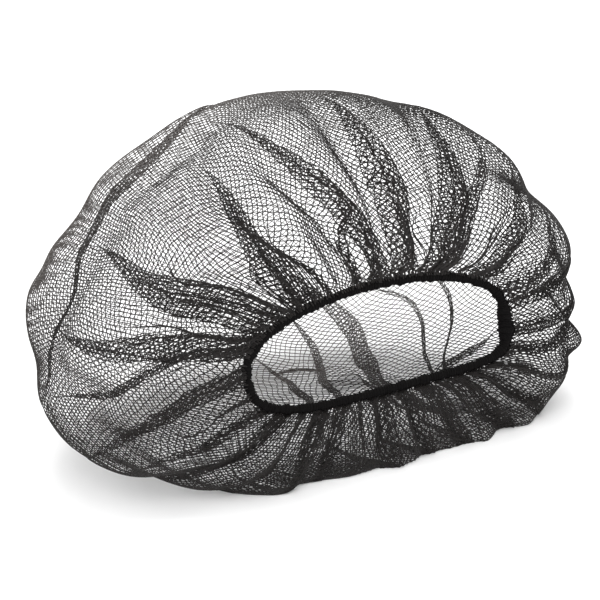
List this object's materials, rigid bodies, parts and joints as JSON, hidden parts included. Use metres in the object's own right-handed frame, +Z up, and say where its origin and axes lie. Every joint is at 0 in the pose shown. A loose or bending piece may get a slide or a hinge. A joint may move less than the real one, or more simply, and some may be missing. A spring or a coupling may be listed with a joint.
{
  "type": "hairnet",
  "caption": "Soft round bag of fine dark mesh gathered by many small pleats onto a wrapped elastic loop, lying puffed up with its opening to the front",
  "frame": {"origin": "middle of the footprint's bounding box, on the floor", "axes": "+Z up, the opening faces -Y, the long side of the bag lies along X with +X to the right of a viewer who looks into the opening"},
  "size_m": [0.2848, 0.1748, 0.1605],
  "materials": {
    "netting": "fine knitted nylon, semi-matt",
    "elastic": "thread-wrapped elastic cord, matt"
  },
  "bodies": {
    "root": {"net": "netting", "elastic_band": "elastic"}
  },
  "joints": []
}
